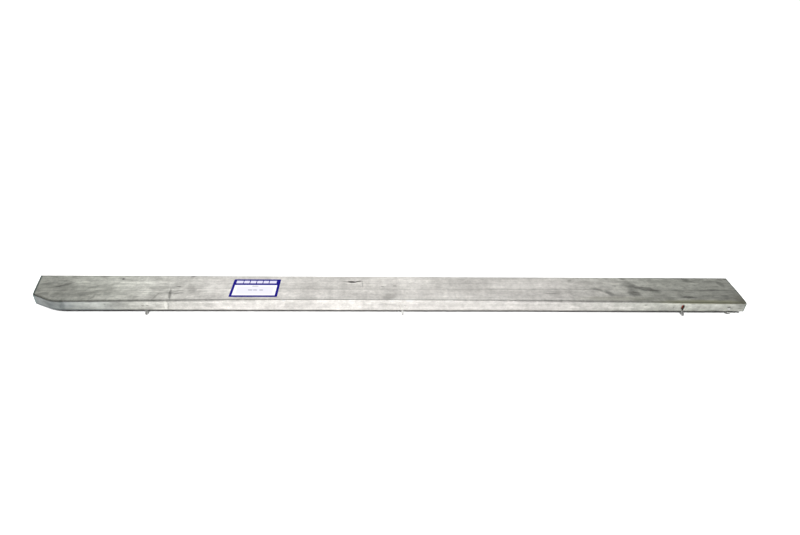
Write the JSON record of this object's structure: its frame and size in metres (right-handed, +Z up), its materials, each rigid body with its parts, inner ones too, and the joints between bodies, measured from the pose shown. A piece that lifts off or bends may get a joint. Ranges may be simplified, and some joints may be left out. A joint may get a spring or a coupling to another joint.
{
  "type": "vehicle body side capping",
  "caption": "Long folded sheet capping for the top of a vehicle load tub side: wide top face, outer skirt with small tie hooks, inner lip, slanted and chamfered end.",
  "frame": {"origin": "on the floor under the middle of the part's bounding box, as it stands on the hook tips and the inner lip's edge", "axes": "+X along the capping towards its square end, +Y towards the inner lip, +Z up out of the top face"},
  "size_m": [1.18, 0.0774, 0.029],
  "materials": {
    "galvanised_sheet": "dull galvanised sheet with handling marks and grey stains",
    "galvanised_fixing": "galvanised pressed steel",
    "weld_bead": "zinc coated weld",
    "printed_label": "self-adhesive printed label, white with a dark blue border and header"
  },
  "bodies": {
    "root": {"capping_panel": "galvanised_sheet", "corner_skirt": "galvanised_sheet", "corner_weld_top": "weld_bead", "corner_weld_seam": "weld_bead", "tie_hook_left": "galvanised_fixing", "tie_hook_middle": "galvanised_fixing", "tie_hook_right": "galvanised_fixing", "left_hook_rivet_1": "galvanised_fixing", "left_hook_rivet_2": "galvanised_fixing", "middle_hook_rivet_1": "galvanised_fixing", "middle_hook_rivet_2": "galvanised_fixing", "right_hook_rivet_2": "galvanised_fixing", "end_tab": "galvanised_fixing", "end_tab_rivet": "galvanised_fixing", "parts_label": "printed_label"}
  },
  "joints": []
}
